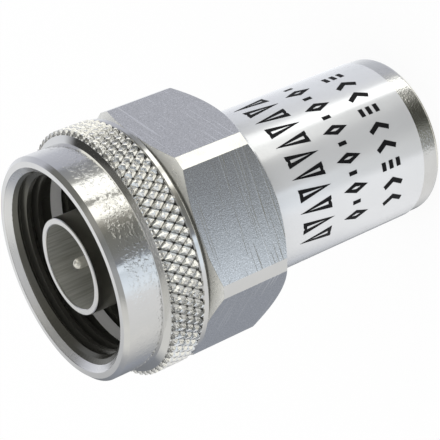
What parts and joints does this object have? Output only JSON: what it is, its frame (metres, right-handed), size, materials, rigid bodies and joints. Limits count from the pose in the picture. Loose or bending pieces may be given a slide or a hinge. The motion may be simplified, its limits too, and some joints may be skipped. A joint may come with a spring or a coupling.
{
  "type": "coaxial termination",
  "caption": "Coaxial load with a type N plug: a labelled cup housing over a rod resistor, and a turning coupling nut with a knurled band and wrench flats.",
  "frame": {"origin": "centre of the flat rear face, which the part stands on", "axes": "+Z along the connector's axis towards the mating end; one wrench flat faces -Y"},
  "size_m": [0.0206, 0.0204, 0.0332],
  "materials": {
    "nickel_plate": "polished nickel plate on brass",
    "satin_nickel": "satin nickel plate on brass",
    "contact_plate": "plated spring copper alloy",
    "bare_brass": "turned",
    "spring_steel": "plain",
    "black_rubber": "moulded",
    "white_plastic": "turned",
    "film_resistor": "resistive film on ceramic",
    "label_film": "printed film"
  },
  "bodies": {
    "load_body": {"retaining_ring": "spring_steel", "face_gasket": "black_rubber", "outer_contact": "nickel_plate", "front_body": "satin_nickel", "insulating_bead": "white_plastic", "centre_pin": "contact_plate", "inner_contact": "contact_plate", "front_ferrule": "contact_plate", "load_resistor": "film_resistor", "rear_ferrule": "contact_plate", "taper_horn": "bare_brass", "ground_collet": "contact_plate", "spring_washer": "spring_steel", "housing_seal": "black_rubber", "rear_housing": "nickel_plate", "label_film": "label_film"},
    "nut": {"coupling_nut": "nickel_plate"}
  },
  "joints": [
    {"name": "nut_spin", "type": "hinge", "parent": "load_body", "child": "nut", "pos_m": [0, 0, 0.0204], "axis": [0, 0, 1], "continuous": true}
  ]
}
